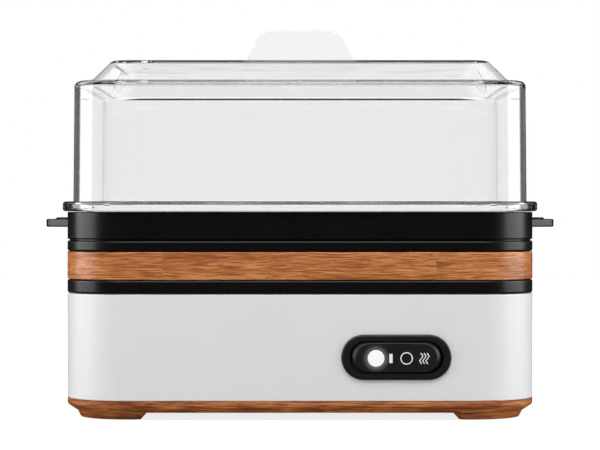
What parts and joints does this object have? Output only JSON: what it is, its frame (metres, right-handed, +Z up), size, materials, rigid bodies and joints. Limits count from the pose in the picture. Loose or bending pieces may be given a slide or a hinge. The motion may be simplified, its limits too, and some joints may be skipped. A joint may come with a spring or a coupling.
{
  "type": "egg cooker",
  "caption": "Table-top electric egg steamer: rounded body with wood-look band, clear lift-off lid with tab grip, lift-out egg tray and rocker switch with lamp.",
  "frame": {"origin": "centre of the footprint, on the table under the foot pads", "axes": "+Z up; +X to the right and +Y to the back, as seen from the switch side"},
  "size_m": [0.2322, 0.1482, 0.1749],
  "materials": {
    "wood_base": "wood-look printed plastic, satin, darker than the band",
    "wood_band": "wood-look printed plastic, satin, fine level grain",
    "white_plastic": "white moulded plastic, semi-gloss",
    "black_plastic": "black moulded plastic, satin",
    "rocker_plastic": "black moulded plastic, fine texture",
    "clear_plastic": "clear moulded plastic, polished",
    "lens_plastic": "milky lamp lens",
    "inner_plastic": "natural heat-resistant plastic",
    "tray_steel": "non-stick or bare drawn sheet, satin",
    "silicone": "black silicone rubber",
    "aluminium": "mill finish",
    "element_steel": "annealed steel",
    "ceramic": "ceramic, unglazed",
    "plated_steel": "zinc plated",
    "brass": "tinned or bare brass",
    "board_laminate": "paper laminate",
    "board_parts": "moulded component bodies",
    "lamp_glass": "diffused lamp",
    "lead_brown": "silicone insulation, brown",
    "lead_white": "glass-braided insulation, white",
    "lead_blue": "silicone insulation, blue",
    "lead_green": "silicone insulation, green and yellow"
  },
  "bodies": {
    "base": {"base_cover": "wood_base", "wood_band": "wood_band", "housing": "white_plastic", "lower_trim_ring": "black_plastic", "upper_trim_ring": "black_plastic", "switch_bezel": "black_plastic", "cord_gland": "black_plastic", "gland_nut": "black_plastic", "chassis": "inner_plastic", "switch_body": "inner_plastic", "terminal_block": "inner_plastic", "splice_cap": "inner_plastic", "heating_tray": "tray_steel", "tray_seal": "silicone", "foot_pad_back_right": "silicone", "foot_pad_back_left": "silicone", "foot_pad_front_left": "silicone", "foot_pad_front_right": "silicone", "heat_spreader": "aluminium", "heating_element": "element_steel", "thermostat_plates": "element_steel", "fuse_clip": "element_steel", "earth_tag": "element_steel", "element_bushes": "ceramic", "thermostat_cook": "ceramic", "thermostat_warm": "ceramic", "thermal_fuse": "ceramic", "element_pins": "plated_steel", "base_screws": "plated_steel", "spreader_screws": "plated_steel", "board_screws": "plated_steel", "terminal_screws": "plated_steel", "rocker_pin": "plated_steel", "thermostat_blades": "brass", "switch_blades": "brass", "push_on_connectors": "brass", "fuse_crimps": "brass", "control_board": "board_laminate", "board_components": "board_parts", "buzzer": "board_parts", "switch_lamp": "lamp_glass", "lead_live": "lead_brown", "lead_cook": "lead_brown", "lead_warm": "lead_brown", "lead_lamp": "lead_brown", "lead_cook_return": "lead_white", "lead_warm_return": "lead_white", "lead_element": "lead_white", "lead_fuse": "lead_white", "lead_neutral": "lead_blue", "lead_earth": "lead_green"},
    "egg_holder": {"egg_holder": "black_plastic"},
    "lid": {"lid": "clear_plastic"},
    "rocker": {"switch_rocker": "rocker_plastic", "indicator_lens": "lens_plastic"}
  },
  "joints": [
    {"name": "holder_lift", "type": "slide", "parent": "base", "child": "egg_holder", "axis": [0, 0, 1], "range_m": [0, 0.1]},
    {"name": "lid_lift", "type": "slide", "parent": "egg_holder", "child": "lid", "axis": [0, 0, 1], "range_m": [0, 0.12]},
    {"name": "switch_rock", "type": "hinge", "parent": "base", "child": "rocker", "pos_m": [0.0415, -0.066, 0.0276], "axis": [0, 0, 1], "range_deg": [-7, 7]}
  ]
}
